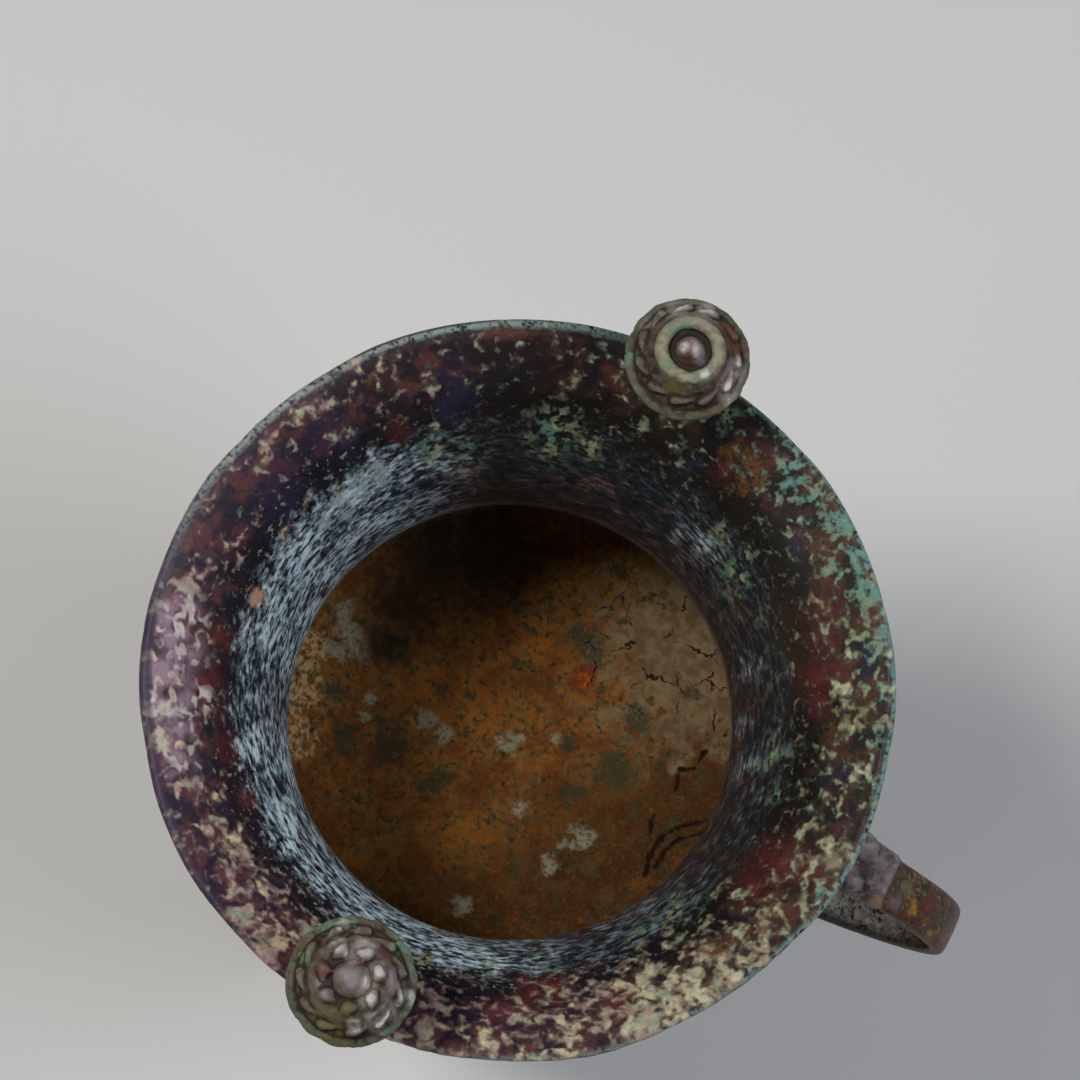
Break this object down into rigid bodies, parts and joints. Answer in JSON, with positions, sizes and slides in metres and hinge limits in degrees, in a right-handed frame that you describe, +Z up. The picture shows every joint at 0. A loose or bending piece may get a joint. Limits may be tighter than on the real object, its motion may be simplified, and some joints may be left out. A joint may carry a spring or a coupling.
{
  "type": "bronze jia wine vessel",
  "caption": "Hollow cast bronze wine vessel with a trumpet mouth, capped posts on its lip, a strap handle under an ox head, and splayed legs to stand on.",
  "frame": {"origin": "middle of the footprint of the whole vessel, on the plane that its feet stand on", "axes": "+Z up along the vessel's own axis, +X towards the handle, the posts close to +Y and -Y"},
  "size_m": [0.2194, 0.1998, 0.288],
  "materials": {
    "aged_bronze": "buried bronze: blue-black and red-brown corrosion with cream and malachite-green crust outside, rust-orange inside"
  },
  "bodies": {
    "root": {"jia_vessel": "aged_bronze"}
  },
  "joints": []
}
